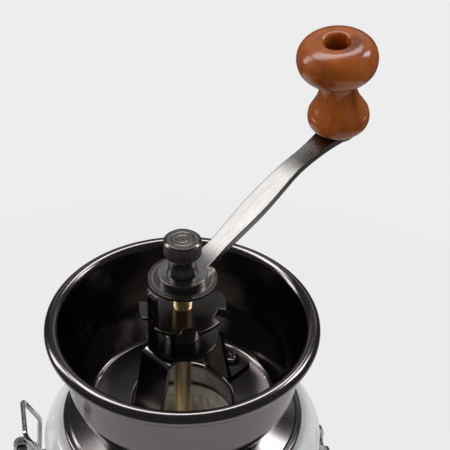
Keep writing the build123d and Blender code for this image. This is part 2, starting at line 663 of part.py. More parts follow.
def lower_bearing():
    """Three-armed plate under the housing that holds the lower bush."""
    plate = Circle(BEARING_R) - Circle(TUBE_LIP_R + 1) + Circle(BUSH_R + BEARING_HUB_W)
    arm_l = TUBE_LIP_R + 2
    arm = Pos(arm_l / 2, 0) * Rectangle(arm_l, BEARING_ARM_W)
    plate += around(3, arm, BRIDGE_DIR + 90)
    plate -= Circle(BUSH_R)
    hole = Pos(BEARING_SCREW_R, 0) * Circle(BEARING_SHANK_R + HOLE)
    plate -= around(3, hole, BRIDGE_DIR + 90)
    return Pos(0, 0, BEARING_Z) * extrude(plate, BEARING_T)


def bearing_screws():
    """Three small pan head screws, heads down."""
    shank = extrude(Circle(BEARING_SHANK_R), BEARING_T + BEARING_SHANK_L)
    screw = Rot(180, 0, 0) * pan_head(BEARING_HEAD_R, BEARING_HEAD_H) + shank
    return around(3, Pos(BEARING_SCREW_R, 0, BEARING_Z) * screw, BRIDGE_DIR + 90)


def lower_bush():
    """Flanged bush for the shaft's lower journal."""
    return spun(
        (STUD_R + RUN, BUSH_Z), (BUSH_R + BUSH_RIM, BUSH_Z), (BUSH_R + BUSH_RIM, BEARING_Z),
        (BUSH_R, BEARING_Z), (BUSH_R, TUBE_Z), (STUD_R + RUN, TUBE_Z))


def burr_spring():
    """Coil spring between the lower bush and the washer."""
    height = SPRING_L - 2 * COIL_WIRE_R - 2 * REST
    path = Pos(0, 0, SPRING_Z + COIL_WIRE_R + REST) * Helix(height / COIL_TURNS, height, COIL_R)
    return sweep(Plane(path @ 0, z_dir=path % 0) * Circle(COIL_WIRE_R), path=path)


def spring_washer():
    """Flat washer under the spring."""
    return ring(STUD_R, WASHER_R, SPRING_Z - WASHER_T, SPRING_Z)


def end_nut():
    """Nut at the shaft's lower end."""
    return hexagon_nut(NUT_FLATS, END_NUT_H, STUD_R, SPRING_Z - WASHER_T - END_NUT_H)


# ---- shaft, setting nut and lock --------------------------------------------------------------
def main_shaft():
    """Stepped shaft with a flat for the burr, and one for the lock plate and the crank."""
    thread_z = BRIDGE_Z - THREAD_DOWN
    stud_top = NUT_TOP_Z - NUT_CROWN - STUD_GAP
    collar_r = SHAFT_R + COLLAR_W
    collar_z = CONE_TOP_Z + COLLAR_T
    shaft = spun(
        (0, SHAFT_END_Z), (STUD_R, SHAFT_END_Z, 0.5), (STUD_R, CONE_Z), (SHAFT_R, CONE_Z),
        (SHAFT_R, CONE_TOP_Z), (collar_r, CONE_TOP_Z), (collar_r, collar_z),
        (SHAFT_R, collar_z), (SHAFT_R, thread_z), (THREAD_R, thread_z + 0.4),
        (THREAD_R, SPACER_Z), (TOP_R, SPACER_Z), (TOP_R, NUT_Z), (STUD_R, NUT_Z),
        (STUD_R, stud_top, 0.5), (0, stud_top))
    for low, high in ((CONE_Z, CONE_TOP_Z), (HUB_TOP_Z - FLAT_DOWN, NUT_Z)):
        block = Box(3 * THREAD_R, THREAD_R, high - low, align=(Align.CENTER, Align.MIN, Align.MIN))
        shaft -= Rot(0, 0, CRANK_DIR) * Pos(0, FLAT_AT, low) * block
    return shaft


def adjuster_nut():
    """Round nut on the shaft's thread, staked in its plate."""
    bore = THREAD_R + RUN
    return spun(
        (bore, PLATE_Z), (BUSH_SLEEVE_R, PLATE_Z), (BUSH_SLEEVE_R, PLATE_Z + PLATE_T),
        (HUB_R, PLATE_Z + PLATE_T), (HUB_R, HUB_TOP_Z, 0.5), (bore, HUB_TOP_Z))


def adjuster_plate():
    """Round plate with one tongue bent up to stand in a notch of the lock plate."""
    tongue_in = NOTCH_FLOOR_R + TONGUE_GAP
    disc = ring(BUSH_SLEEVE_R, PLATE_R, PLATE_Z, PLATE_Z + PLATE_T)
    side = outline([
        (PLATE_R - 3, PLATE_Z), (tongue_in + TONGUE_T, PLATE_Z, 1.4),
        (tongue_in + TONGUE_T, PLATE_Z + TONGUE_H - 1.2), (tongue_in + 0.4, PLATE_Z + TONGUE_H),
        (tongue_in, PLATE_Z + TONGUE_H), (tongue_in, PLATE_Z + PLATE_T),
        (PLATE_R - 3, PLATE_Z + PLATE_T)])
    tongue = extrude(side, TONGUE_W / 2, both=True)
    return disc + Rot(0, 0, TONGUE_DIR) * tongue


def lock_plate():
    """Toothed plate keyed to the shaft; one notch takes the tongue."""
    half = TONGUE_W / 2 + REST
    beyond = LOCK_R + 2
    notch = make_face(Polyline(
        (NOTCH_FLOOR_R, half), (beyond, half + 0.2), (beyond, -half - NOTCH_RAMP),
        (NOTCH_FLOOR_R, -half), close=True))
    plate = Circle(LOCK_R) - around(NOTCHES, notch, TONGUE_DIR)
    plate -= flatted(THREAD_R + RUN, RUN)
    return Pos(0, 0, LOCK_Z) * extrude(plate, LOCK_T)


def spacer_disc():
    """Thin washer between the shaft's shoulder and the crank."""
    return ring(TOP_R, SPACER_R, SPACER_Z, CRANK_Z)


# ---- crank and knob ---------------------------------------------------------------------------
def knob_place():
    """Place of the knob's foot: on the arm's end, leaning back towards the shaft."""
    rise = (ARM_TOP_R - ARM_BEND_R) * tan(radians(ARM_SLOPE))
    rise += (KNOB_R - ARM_TOP_R) * tan(radians(PAD_SLOPE))
    top = NUT_Z - CRANK_T / 2 + rise + CRANK_T / 2 / cos(radians(PAD_SLOPE))
    return Rot(0, 0, CRANK_DIR) * Pos(KNOB_R, 0, top) * Rot(0, -PAD_SLOPE, 0)


def crank_arm():
    """Flat steel arm with two bends, a boss at the shaft and a round pad at the knob."""
    mid = NUT_Z - CRANK_T / 2
    rise = (ARM_TOP_R - ARM_BEND_R) * tan(radians(ARM_SLOPE))
    end = KNOB_R + ARM_OVER
    end_rise = rise + (end - ARM_TOP_R) * tan(radians(PAD_SLOPE))
    strip = bent_strip(
        [(-BOSS_R - 2, mid), (ARM_BEND_R, mid, BEND_LOW_FILLET),
         (ARM_TOP_R, mid + rise, BEND_TOP_FILLET), (end, mid + end_rise)], CRANK_T, 4 * BOSS_R)
    middle = (ARM_BEND_R + ARM_TOP_R) / 2
    blade = [(0, BOSS_R * 0.8), (ARM_BEND_R + 6, ARM_W_BEND / 2), (middle, ARM_W_MID / 2),
             (ARM_TOP_R + 8, ARM_W_BEND / 2), (KNOB_R, PAD_R * 0.95)]
    one_side = Spline(*blade)
    other_side = mirror(one_side, Plane.XZ)
    ends = Line(blade[0], (0, -blade[0][1])) + Line(blade[-1], (KNOB_R, -blade[-1][1]))
    plan = make_face(one_side + other_side + ends)
    plan += Circle(BOSS_R) + Pos(KNOB_R, 0) * Circle(PAD_R)
    arm = strip & Pos(0, 0, mid - 10) * extrude(plan, 80)
    arm = Rot(0, 0, CRANK_DIR) * arm - Pos(0, 0, mid - 10) * extrude(flatted(TOP_R), 20)
    return arm - knob_place() * ring(0, KNOB_PIN_R, -20, 20)


def thumb_nut():
    """Tall nut with a knurled head, closed at the top, that clamps the crank."""
    knurl_z = NUT_Z + NUT_NECK_H
    return spun(
        (STUD_R, NUT_Z), (NUT_NECK_R, NUT_Z, 0.4), (NUT_NECK_R, knurl_z), (NUT_R, knurl_z + 0.6),
        (NUT_R, NUT_TOP_Z - NUT_CHAMFER), (NUT_R - NUT_CHAMFER, NUT_TOP_Z), (0, NUT_TOP_Z),
        (0, NUT_TOP_Z - NUT_CROWN), (STUD_R, NUT_TOP_Z - NUT_CROWN))


def knob():
    """Turned wooden knob: ringed foot, waist and round head, bored from the top."""
    low = KNOB_WASHER_T + REST
    top = low + KNOB_H
    wide_z = top - KNOB_HEAD_UP
    neck_z = wide_z - KNOB_HEAD_DOWN
    foot = Spline((KNOB_BASE_R - 3.0, low), (KNOB_BASE_R, low + 5.0),
                  (KNOB_BASE_R - 0.5, low + 8.2), tangents=[(1, 0.5), (-0.5, 1)])
    flare = Spline((KNOB_BASE_R - 1.1, low + 8.6), (KNOB_NECK_R + 1.2, low + 16.5),
                   (KNOB_NECK_R, neck_z - 2.0), tangents=[(-0.2, 1), (0.1, 1)])
    head = Spline((KNOB_NECK_R + 0.6, neck_z), (KNOB_HEAD_R - 4.4, neck_z + 2.9),
                  (KNOB_HEAD_R - 1.0, wide_z - 4.6), (KNOB_HEAD_R, wide_z),
                  (KNOB_HEAD_R - 1.7, wide_z + 5.4), (KNOB_HEAD_R - 4.0, wide_z + 7.5),
                  (KNOB_BORE_R + 0.8, top), tangents=[(1, 0.45), (-1, 0.04)])
    edges = foot + Line(foot @ 1, flare @ 0) + flare + Line(flare @ 1, head @ 0) + head
    edges += Polyline(head @ 1, (KNOB_BORE_R, top - 0.8), (KNOB_BORE_R, low + KNOB_SEAT),
                      (KNOB_PIN_R + RUN, low + KNOB_SEAT), (KNOB_PIN_R + RUN, low), foot @ 0)
    return knob_place() * revolve(Rot(90, 0, 0) * make_face(edges), Axis.Z)


def knob_pin():
    """Headed pin in the knob's bore, riveted under the arm."""
    head_z = KNOB_WASHER_T + 2 * REST + KNOB_SEAT
    under = -CRANK_T
    rivet_r = KNOB_PIN_R + RIVET_W
    head_r = KNOB_PIN_R + PIN_TOP_W
    top = head_z + PIN_TOP_T
    pin = spun((0, under - RIVET_T), (rivet_r, under - RIVET_T, 1.2), (rivet_r, under),
               (KNOB_PIN_R, under), (KNOB_PIN_R, head_z), (head_r, head_z), (head_r, top, 1.0),
               (0, top))
    slot = Pos(0, 0, top - 1.0) * extrude(Rectangle(5.4, 0.9), 2)
    return knob_place() * (pin - slot - Rot(0, 0, 90) * slot)


def knob_washer():
    """Thin washer between the knob and the arm."""
    return knob_place() * ring(KNOB_PIN_R, KNOB_PIN_R + KNOB_WASHER_W, 0, KNOB_WASHER_T)


PARTS = [
    jar, lid_ring, lid_seal, lid_band, neck_band, hinge_pin, clamp_screw, clamp_nut, latch_lever,
    latch_link, skirt, hopper, bridge, bridge_bush, bridge_screws, burr_housing, ring_burr,
    cone_burr, burr_nut, lower_bearing, bearing_screws, lower_bush, burr_spring, spring_washer,
    end_nut, main_shaft, adjuster_nut, adjuster_plate, lock_plate, spacer_disc, crank_arm,
    thumb_nut, knob, knob_pin, knob_washer]

os.makedirs("parts", exist_ok=True)
for make in PARTS:
    made = make()
    solids = [s for piece in (made if isinstance(made, list) else [made]) for s in piece.solids()]
    export_step(Compound(children=solids) if len(solids) > 1 else solids[0],
                f"parts/{make.__name__}.step")
print(f"rim plane {RIM_Z:.1f}, nut top {NUT_TOP_Z:.1f}, burr top {BURR_TOP_Z:.1f}")
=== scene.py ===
# %% [markdown]
# # Hand crank coffee grinder
#
# A dark plated hopper sits on a white ceramic lid. A crank with a turned wooden knob drives a
# shaft down the middle, and a toothed plate on that shaft locks the grind setting. The engineering
# parts come ready from CAD. This lesson adds what a maker's tools and finishes leave on them:
# threads, a knurl, turned rings, a lathe-turned knob, plating, glaze and varnish.

# %% Load the frame
import json
import math

import bmesh
import bpy
import numpy as np
from mathutils import Matrix, Vector


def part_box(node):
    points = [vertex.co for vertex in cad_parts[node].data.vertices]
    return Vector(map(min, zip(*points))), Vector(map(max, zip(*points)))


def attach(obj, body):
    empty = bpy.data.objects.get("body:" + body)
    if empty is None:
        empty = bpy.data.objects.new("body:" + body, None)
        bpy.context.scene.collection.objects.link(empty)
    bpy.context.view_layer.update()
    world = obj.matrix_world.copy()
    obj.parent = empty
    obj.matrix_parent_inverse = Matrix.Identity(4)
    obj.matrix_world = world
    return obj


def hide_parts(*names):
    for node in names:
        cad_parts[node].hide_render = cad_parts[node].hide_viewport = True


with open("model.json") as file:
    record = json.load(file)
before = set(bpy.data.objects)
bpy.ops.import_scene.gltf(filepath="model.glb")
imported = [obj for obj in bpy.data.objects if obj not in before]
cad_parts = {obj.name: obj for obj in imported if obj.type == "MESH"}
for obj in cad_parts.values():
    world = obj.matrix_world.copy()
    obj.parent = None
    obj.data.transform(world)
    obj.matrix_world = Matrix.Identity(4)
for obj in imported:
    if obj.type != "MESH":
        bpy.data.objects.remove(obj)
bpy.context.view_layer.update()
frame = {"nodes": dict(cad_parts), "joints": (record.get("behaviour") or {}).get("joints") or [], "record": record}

MM = 0.001

# %% [markdown]
# ## Where things are
#
# Every height is read from the CAD parts' own boxes, so the pieces still fit if a size changes.
# The hopper's rolled rim is the widest thing in view, so its centre plane is the reference height
# for the camera.

# %% Heights and radii from the parts
ROLL = 3.05 * MM
rim_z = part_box("hopper")[1].z - ROLL
nut_low, nut_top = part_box("thumb_nut")[0].z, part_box("thumb_nut")[1].z
nut_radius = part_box("thumb_nut")[1].x
shaft_low, shaft_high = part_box("main_shaft")[0].z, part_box("main_shaft")[1].z
spacer_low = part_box("spacer_disc")[0].z
hub_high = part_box("adjuster_nut")[1].z
plate_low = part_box("adjuster_plate")[0].z
bridge_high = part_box("bridge")[1].z
cone_low, cone_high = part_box("cone_burr")[0].z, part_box("cone_burr")[1].z
joints = {j["name"]: j for j in frame["joints"]}
crank_turn = math.atan2(joints["knob_spin"]["pos_m"][1], joints["knob_spin"]["pos_m"][0])
print(f"rim plane {rim_z / MM:.1f} mm, crank at {math.degrees(crank_turn):.1f} degrees")

# %% [markdown]
# ## Camera and light
#
# A long lens from a little above shows into the hopper without much perspective. The studio is
# dark overhead, with a few large soft boxes and a pale floor, because polished metal only shows
# what it reflects: a few bright shapes on black are what make plating look like plating.

# %% Camera
TURN = math.radians(-12.0)
PITCH = math.radians(37.11)
LEAN = math.radians(1.46)
DISTANCE = 461.0 * MM
AIM_RIGHT = 16.3 * MM
AIM_ABOVE_RIM = 51.3 * MM
aim = Matrix.Rotation(TURN, 3, "Z") @ Vector((AIM_RIGHT, 0, 0)) + Vector((0, 0, rim_z + AIM_ABOVE_RIM))
look = Matrix.Rotation(TURN, 3, "Z") @ Vector((0, math.cos(PITCH), -math.sin(PITCH)))

lens = bpy.data.cameras.new("camera")
lens.lens, lens.sensor_width = 96.0, 36.0
lens.clip_start, lens.clip_end = 0.01, 20.0
camera = bpy.data.objects.new("camera", lens)
bpy.context.scene.collection.objects.link(camera)
camera.location = aim - look * DISTANCE
turned = Matrix.Rotation(TURN, 4, "Z") @ Matrix.Rotation(math.pi / 2 - PITCH, 4, "X")
camera.rotation_euler = (turned @ Matrix.Rotation(LEAN, 4, "Z")).to_euler()
bpy.context.scene.camera = camera
print("camera at", [round(v, 3) for v in camera.location])


# %% Soft boxes
def soft_box(name, place, width, height, watts):
    """Rectangular area light that faces the rim's centre; place is seen from the camera's side."""
    lamp = bpy.data.lights.new(name, "AREA")
    lamp.shape, lamp.size, lamp.size_y = "RECTANGLE", width, height
    lamp.energy = watts
    box = bpy.data.objects.new(name, lamp)
    bpy.context.scene.collection.objects.link(box)
    box.location = Matrix.Rotation(TURN, 3, "Z") @ Vector(place)
    to_rim = Vector((0, 0, rim_z)) - box.location
    box.rotation_euler = to_rim.to_track_quat("-Z", "Y").to_euler()
    return box


soft_box("box_over", (-0.16, 0.45, 1.12), 1.25, 0.32, 6.6)
soft_box("box_back", (0.1, 1.15, 0.8), 1.7, 0.4, 0.75)
soft_box("box_left", (-1.0, 0.3, 0.6), 0.25, 0.8, 3.0)
soft_box("box_right", (0.8, 0.35, 0.9), 0.3, 0.4, 3.0)
for fill in (soft_box("fill_left", (-1.1, -0.6, 0.5), 1.0, 0.8, 6.0),
             soft_box("fill_right", (1.1, -0.6, 0.5), 1.0, 0.8, 7.0)):
    fill.visible_glossy = False

# %% [markdown]
# The air around is a dim grey. The floor is lit paper that only the camera sees, so it stays
# evenly pale. What polished walls mirror is a round card of a darker white, just above the paper.
# Both are staged, so neither counts as part of the grinder.

# %% Studio air, floor and reflector card
FLOOR_HALF = 4.0
CARD_R = 0.3
CARD_LIFT = 2 * MM
CARD_SPOKES = 48

world = bpy.data.worlds.new("studio")
world.use_nodes = True
air = world.node_tree.nodes["Background"]
air.inputs["Color"].default_value = (0.5, 0.5, 0.5, 1)
air.inputs["Strength"].default_value = 0.13
bpy.context.scene.world = world
bpy.context.scene.view_settings.view_transform = "Standard"


def lit_sheet(name, corners, color, glow, glow_tint):
    """Flat staged sheet that shines a little of its own light."""
    mesh = bpy.data.meshes.new(name)
    mesh.from_pydata(corners, [], [tuple(range(len(corners)))])
    sheet = bpy.data.objects.new(name, mesh)
    bpy.context.scene.collection.objects.link(sheet)
    paper = bpy.data.materials.new(name + "_paper")
    paper.use_nodes = True
    shader = paper.node_tree.nodes["Principled BSDF"]
    shader.inputs["Base Color"].default_value = (*color, 1)
    shader.inputs["Roughness"].default_value = 0.9
    shader.inputs["Specular IOR Level"].default_value = 0.0
    shader.inputs["Emission Color"].default_value = (*glow_tint, 1)
    shader.inputs["Emission Strength"].default_value = glow
    mesh.materials.append(paper)
    return sheet


floor_corners = [(x * FLOOR_HALF, y * FLOOR_HALF, 0) for x, y in ((-1, -1), (1, -1), (1, 1), (-1, 1))]
floor = lit_sheet("floor", floor_corners, (0.02, 0.02, 0.02), 0.83, (1, 1, 1))
floor.visible_glossy = floor.visible_diffuse = False

spokes = [2 * math.pi * i / CARD_SPOKES for i in range(CARD_SPOKES)]
card_corners = [(CARD_R * math.cos(a), CARD_R * math.sin(a), CARD_LIFT) for a in spokes]
card = lit_sheet("reflector_card", card_corners, (0.2, 0.2, 0.2), 0.45, (1, 0.98, 0.97))
card.visible_camera = card.visible_diffuse = False
print("floor", 2 * FLOOR_HALF, "m wide, card", round(2 * CARD_R, 2), "m across")

# %% [markdown]
# ## A small kit for finishes
#
# Each finish is a Principled shader with a pattern on colour, roughness and bump. The helpers
# below add one pattern at a time: a noise that can be stretched along a direction, a colour ramp,
# and a bump. They read Object coordinates, so a pattern keeps its real size on every part.


# %% Helpers for finishes
def finish(name, color, metallic=0.0, rough=0.4, coat=0.0):
    """New material with the values that are the same all over it."""
    made = bpy.data.materials.new(name)
    made.use_nodes = True
    shader = made.node_tree.nodes["Principled BSDF"]
    shader.inputs["Base Color"].default_value = (*color, 1)
    shader.inputs["Metallic"].default_value = metallic
    shader.inputs["Roughness"].default_value = rough
    shader.inputs["Coat Weight"].default_value = coat
    shader.inputs["Coat Roughness"].default_value = 0.05
    return made


def shader_of(made):
    return made.node_tree.nodes["Principled BSDF"]


def place_of(made, stretch=(1, 1, 1), turn=(0, 0, 0), centre=(0, 0, 0)):
    """Object coordinates, moved to a centre, turned and stretched."""
    nodes, links = made.node_tree.nodes, made.node_tree.links
    mapping = nodes.new("ShaderNodeMapping")
    mapping.vector_type = "TEXTURE"
    mapping.inputs["Location"].default_value = centre
    mapping.inputs["Rotation"].default_value = turn
    mapping.inputs["Scale"].default_value = stretch
    links.new(nodes.new("ShaderNodeTexCoord").outputs["Object"], mapping.inputs["Vector"])
    return mapping.outputs["Vector"]


def noise(made, per_mm, place, detail=3.0):
    """Noise with so many waves in a millimetre."""
    node = made.node_tree.nodes.new("ShaderNodeTexNoise")
    node.inputs["Scale"].default_value = per_mm / MM
    node.inputs["Detail"].default_value = detail
    made.node_tree.links.new(place, node.inputs["Vector"])
    return node.outputs["Fac"]


def ramp(made, value, *stops):
    """Colour ramp through (position, colour) stops."""
    node = made.node_tree.nodes.new("ShaderNodeValToRGB")
    points = node.color_ramp.elements
    while len(points) < len(stops):
        points.new(0.5)
    for point, (position, color) in zip(points, stops):
        point.position, point.color = position, (*color, 1)
    made.node_tree.links.new(value, node.inputs["Fac"])
    return node.outputs["Color"]


def spread(made, value, low, high, socket):
    """Maps a pattern from 0.3..0.7 to low..high on one of the shader's sockets."""
    node = made.node_tree.nodes.new("ShaderNodeMapRange")
    node.inputs["From Min"].default_value = 0.3
    node.inputs["From Max"].default_value = 0.7
    node.inputs["To Min"].default_value = low
    node.inputs["To Max"].default_value = high
    made.node_tree.links.new(value, node.inputs["Value"])
    made.node_tree.links.new(node.outputs["Result"], shader_of(made).inputs[socket])


def paint(made, color):
    made.node_tree.links.new(color, shader_of(made).inputs["Base Color"])


def bump(made, value, depth_mm, strength=1.0, over=None):
    """Bump of a real depth; over is a normal that it is laid on."""
    node = made.node_tree.nodes.new("ShaderNodeBump")
    node.inputs["Distance"].default_value = depth_mm * MM
    node.inputs["Strength"].default_value = strength
    made.node_tree.links.new(value, node.inputs["Height"])
    if over is not None:
        made.node_tree.links.new(over, node.inputs["Normal"])
    made.node_tree.links.new(node.outputs["Normal"], shader_of(made).inputs["Normal"])
    return node.outputs["Normal"]


def soft_edges(made, radius_mm):
    """Normals that round an edge over, as tumbling and plating do."""
    node = made.node_tree.nodes.new("ShaderNodeBevel")
    node.inputs["Radius"].default_value = radius_mm * MM
    node.samples = 8
    made.node_tree.links.new(node.outputs["Normal"], shader_of(made).inputs["Normal"])
    return node.outputs["Normal"]


print("helpers ready")

# %% [markdown]
# ## Ceramic, burrs and bushes
#
# The jar and lid are slip cast and dipped in a clear-white glaze. Glaze is glass: it is very
# smooth, pools slightly, and has the odd pin-prick speck. The burrs are pressed from unglazed
# ceramic, so they are matt, with a fine grain and a faint stain of coffee in the hollows.

# %% Porcelain
porcelain = finish("porcelain_glaze", (0.9, 0.905, 0.905), rough=0.12, coat=0.3)
glaze = place_of(porcelain)
paint(porcelain, ramp(porcelain, noise(porcelain, 0.03, glaze), (0.3, (0.89, 0.9, 0.9)),
                      (0.7, (0.935, 0.935, 0.93))))
spread(porcelain, noise(porcelain, 0.15, glaze), 0.08, 0.2, "Roughness")
bump(porcelain, noise(porcelain, 0.06, glaze, 2.0), 0.12, 0.5)

burr_ceramic = finish("pressed_burr_ceramic", (0.8, 0.76, 0.7), rough=0.7)
grain = place_of(burr_ceramic)
paint(burr_ceramic, ramp(burr_ceramic, noise(burr_ceramic, 0.25, grain, 5.0),
                         (0.3, (0.76, 0.71, 0.64)), (0.65, (0.9, 0.86, 0.8))))
spread(burr_ceramic, noise(burr_ceramic, 0.6, grain), 0.5, 0.85, "Roughness")
bump(burr_ceramic, noise(burr_ceramic, 3.0, grain, 4.0), 0.08, 0.6)

nylon = finish("natural_nylon", (0.78, 0.76, 0.7), rough=0.45)
spread(nylon, noise(nylon, 0.8, place_of(nylon)), 0.35, 0.6, "Roughness")
bump(nylon, noise(nylon, 2.0, place_of(nylon)), 0.03, 0.4)

silicone = finish("milky_silicone", (0.78, 0.8, 0.8), rough=0.5)
shader_of(silicone).inputs["Subsurface Weight"].default_value = 0.2
shader_of(silicone).inputs["Subsurface Radius"].default_value = (0.002, 0.002, 0.002)
spread(silicone, noise(silicone, 0.5, place_of(silicone)), 0.4, 0.65, "Roughness")
bump(silicone, noise(silicone, 1.2, place_of(silicone)), 0.03, 0.4)
print("ceramic and plastic finishes: porcelain, burr ceramic, nylon, silicone")

# %% [markdown]
# ## Plated metals
#
# The hopper and its collar are spun sheet with a black nickel plate, polished before plating, so
# faint spinning rings stay in the surface. The bridge and plates are stamped, then plated black.
# The crank is brushed along its length before a bright nickel plate. The shaft is zinc plated and
# yellow passivated, which gives drifting yellow, red and green tints.

# %% Dark spun plate
dark_chrome = finish("black_nickel_plate", (0.2, 0.18, 0.185), 1.0, 0.2)
spun_place = place_of(dark_chrome)
paint(dark_chrome, ramp(dark_chrome, noise(dark_chrome, 0.02, spun_place),
                        (0.3, (0.185, 0.165, 0.165)), (0.7, (0.22, 0.198, 0.2))))
spread(dark_chrome, noise(dark_chrome, 0.4, place_of(dark_chrome, (30, 30, 1)), 4.0),
       0.14, 0.19, "Roughness")
bump(dark_chrome, noise(dark_chrome, 1.2, place_of(dark_chrome, (40, 40, 1)), 2.0), 0.0008, 0.4)

black_steel = finish("black_plated_steel", (0.2, 0.185, 0.178), 1.0, 0.18)
black_edges = soft_edges(black_steel, 0.45)
stamped = place_of(black_steel)
paint(black_steel, ramp(black_steel, noise(black_steel, 0.08, stamped),
                        (0.3, (0.18, 0.167, 0.16)), (0.7, (0.24, 0.222, 0.214))))
spread(black_steel, noise(black_steel, 0.9, stamped, 4.0), 0.15, 0.22, "Roughness")
bump(black_steel, noise(black_steel, 0.15, stamped), 0.008, 0.2, black_edges)
print("dark plates ready")

# %% Bright, turned and drawn metals
nickel = finish("brushed_nickel", (0.25, 0.242, 0.235), 1.0, 0.28)
nickel_edges = soft_edges(nickel, 0.4)
brushed = place_of(nickel, (60, 1, 6), (0, 0, crank_turn))
paint(nickel, ramp(nickel, noise(nickel, 0.8, brushed), (0.3, (0.23, 0.222, 0.216)),
                   (0.7, (0.272, 0.263, 0.257))))
spread(nickel, noise(nickel, 2.5, brushed, 3.0), 0.25, 0.31, "Roughness")
bump(nickel, noise(nickel, 3.0, brushed, 1.0), 0.0004, 0.4, nickel_edges)


def turned_rings(made, ring_mm, depth_mm, over=None):
    """Fine rings about the shaft's axis, as a lathe tool leaves on a face."""
    wave = made.node_tree.nodes.new("ShaderNodeTexWave")
    wave.wave_type, wave.rings_direction = "RINGS", "Z"
    wave.inputs["Scale"].default_value = 1 / (20 * ring_mm * MM)
    wave.inputs["Distortion"].default_value = 0.1
    wave.inputs["Detail"].default_value = 3.0
    made.node_tree.links.new(place_of(made), wave.inputs["Vector"])
    bump(made, wave.outputs["Fac"], depth_mm, 0.6, over)
    return wave.outputs["Fac"]


dark_nickel = finish("turned_dark_nickel", (0.2, 0.185, 0.18), 1.0, 0.24)
dark_edges = soft_edges(dark_nickel, 0.25)
paint(dark_nickel, ramp(dark_nickel, noise(dark_nickel, 0.3, place_of(dark_nickel), 4.0),
                        (0.3, (0.19, 0.175, 0.168)), (0.7, (0.25, 0.232, 0.224))))
spread(dark_nickel, turned_rings(dark_nickel, 0.35, 0.0015, dark_edges), 0.2, 0.28, "Roughness")

stainless = finish("drawn_stainless", (0.6, 0.6, 0.605), 1.0, 0.2)
drawn = place_of(stainless, (8, 8, 1))
paint(stainless, ramp(stainless, noise(stainless, 1.0, drawn), (0.3, (0.55, 0.55, 0.555)),
                      (0.7, (0.64, 0.64, 0.645))))
spread(stainless, noise(stainless, 4.0, drawn, 2.0), 0.17, 0.24, "Roughness")
bump(stainless, noise(stainless, 6.0, drawn, 1.0), 0.0006, 0.3)

cast_zinc = finish("tumbled_cast_zinc", (0.42, 0.42, 0.43), 1.0, 0.45)
cast = place_of(cast_zinc)
paint(cast_zinc, ramp(cast_zinc, noise(cast_zinc, 0.2, cast, 5.0), (0.3, (0.34, 0.34, 0.35)),
                      (0.7, (0.5, 0.5, 0.51))))
spread(cast_zinc, noise(cast_zinc, 0.7, cast), 0.35, 0.6, "Roughness")
bump(cast_zinc, noise(cast_zinc, 0.9, cast, 4.0), 0.08, 0.5)

zinc_yellow = finish("yellow_passivated_zinc", (0.5, 0.4, 0.2), 1.0, 0.25)
tint = noise(zinc_yellow, 0.16, place_of(zinc_yellow, (1, 1, 20)), 0.0)
paint(zinc_yellow, ramp(zinc_yellow, tint, (0.3, (0.95, 0.8, 0.45)), (0.43, (0.85, 0.4, 0.25)),
                        (0.5, (0.97, 0.86, 0.5)), (0.57, (0.6, 0.75, 0.35)),
                        (0.7, (0.97, 0.9, 0.62))))
spread(zinc_yellow, noise(zinc_yellow, 0.5, place_of(zinc_yellow)), 0.28, 0.38, "Roughness")
bump(zinc_yellow, noise(zinc_yellow, 1.0, place_of(zinc_yellow, (1, 1, 6)), 1.0), 0.004, 0.3)
print("bright metals ready")

# %% [markdown]
# ## Varnished wood
#
# The knob is beech, turned between centres, stained orange-brown and dipped in gloss varnish.
# Beech shows short dark flecks along the grain and soft bands of colour. The varnish is a clear
# coat on top, so the wood below can stay rougher.

# %% Wood
wood = finish("varnished_beech", (0.4, 0.13, 0.035), rough=0.5, coat=1.0)
shader_of(wood).inputs["Specular IOR Level"].default_value = 0.2
along = place_of(wood, (1, 1, 7))
bands = noise(wood, 0.09, along, 4.0)
paint(wood, ramp(wood, bands, (0.28, (0.15, 0.029, 0.004)), (0.45, (0.32, 0.072, 0.008)),
                 (0.6, (0.41, 0.102, 0.012)), (0.75, (0.22, 0.045, 0.006))))
shader_of(wood).inputs["Coat Roughness"].default_value = 0.17
spread(wood, noise(wood, 1.2, along, 4.0), 0.45, 0.65, "Roughness")
grain_bump = bump(wood, noise(wood, 2.0, along, 5.0), 0.02, 0.5)
wood.node_tree.links.new(grain_bump, shader_of(wood).inputs["Coat Normal"])
print("wood ready")

# %% Give every CAD part its finish
FINISHES = {
    "porcelain": porcelain, "dark_chrome": dark_chrome, "black_steel": black_steel,
    "nickel": nickel, "dark_nickel": dark_nickel, "stainless": stainless,
    "zinc_yellow": zinc_yellow, "burr_ceramic": burr_ceramic, "cast_zinc": cast_zinc,
    "varnished_wood": wood, "silicone": silicone, "nylon": nylon}
for entry in frame["record"]["subparts"]:
    part = frame["nodes"][entry["node"]]
    part.data.materials.clear()
    part.data.materials.append(FINISHES[entry["material_slot"]])
print("finished parts:", len(frame["nodes"]))


# %% [markdown]
# ## Turned pieces
#
# A lathe makes a shape by spinning an outline. The helper below does the same: it takes corners
# in radius and height, joins them to rings of points, closes the ends on the axis, and shades the
# result smooth except where the outline turns sharply.

# %% Helpers for meshes
def show(name, mesh, made, body, slot, *stands_for):
    """Puts a finished mesh on its body in place of CAD nodes."""
    if not mesh.materials:
        mesh.materials.append(made)
    piece = bpy.data.objects.new(name, mesh)
    bpy.context.scene.collection.objects.link(piece)
    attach(piece, body)
    if stands_for:
        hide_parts(*stands_for)
    return piece


def shade(mesh, sharp_degrees=35.0):
    """Smooth shading, with edges sharper than this angle kept crisp."""
    mesh.shade_smooth()
    mesh.set_sharp_from_angle(angle=math.radians(sharp_degrees))


